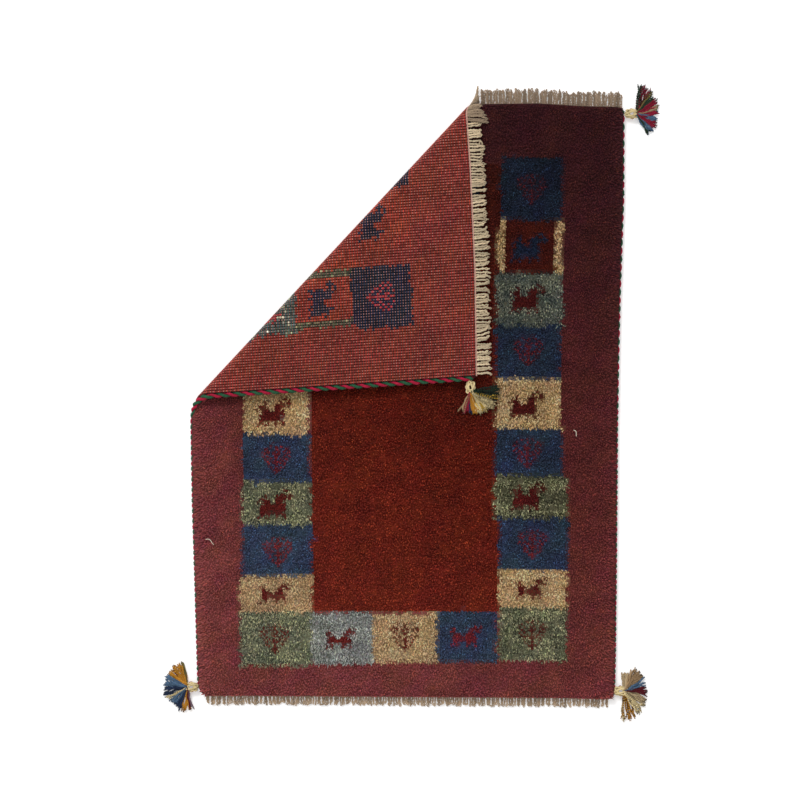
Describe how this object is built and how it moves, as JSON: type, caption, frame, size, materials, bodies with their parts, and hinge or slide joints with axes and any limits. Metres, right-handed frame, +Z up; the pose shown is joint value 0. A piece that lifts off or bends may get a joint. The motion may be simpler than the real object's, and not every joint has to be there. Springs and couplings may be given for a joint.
{
  "type": "gabbeh rug with one corner folded over",
  "caption": "Small hand-knotted wool rug lying pile up with a corner folded over, with overcast side cords, warp fringes at its ends and a yarn tassel at each corner.",
  "frame": {"origin": "on the rug's underside, at the middle of the flat rug", "axes": "+X across the rug, +Y along it towards the end whose left corner is folded over, +Z up through the pile"},
  "size_m": [0.7117, 0.9142, 0.0295],
  "materials": {
    "pile_and_weave": "cut wool pile over a ribbed wool weave",
    "side_cord": "overcast wool yarn in red and green",
    "warp_fringe": "twisted undyed wool warp ends",
    "tassel_yarn": "loose plied wool yarn in several dyes"
  },
  "bodies": {
    "root": {"rug_body": "pile_and_weave", "side_cord_left": "side_cord", "side_cord_right": "side_cord", "fringe_bottom": "warp_fringe", "fringe_top": "warp_fringe", "fringe_fold": "warp_fringe", "fringe_flap": "warp_fringe", "tassel_top_right": "tassel_yarn", "tassel_bottom_left": "tassel_yarn", "tassel_bottom_right": "tassel_yarn", "tassel_flap": "tassel_yarn"}
  },
  "joints": []
}
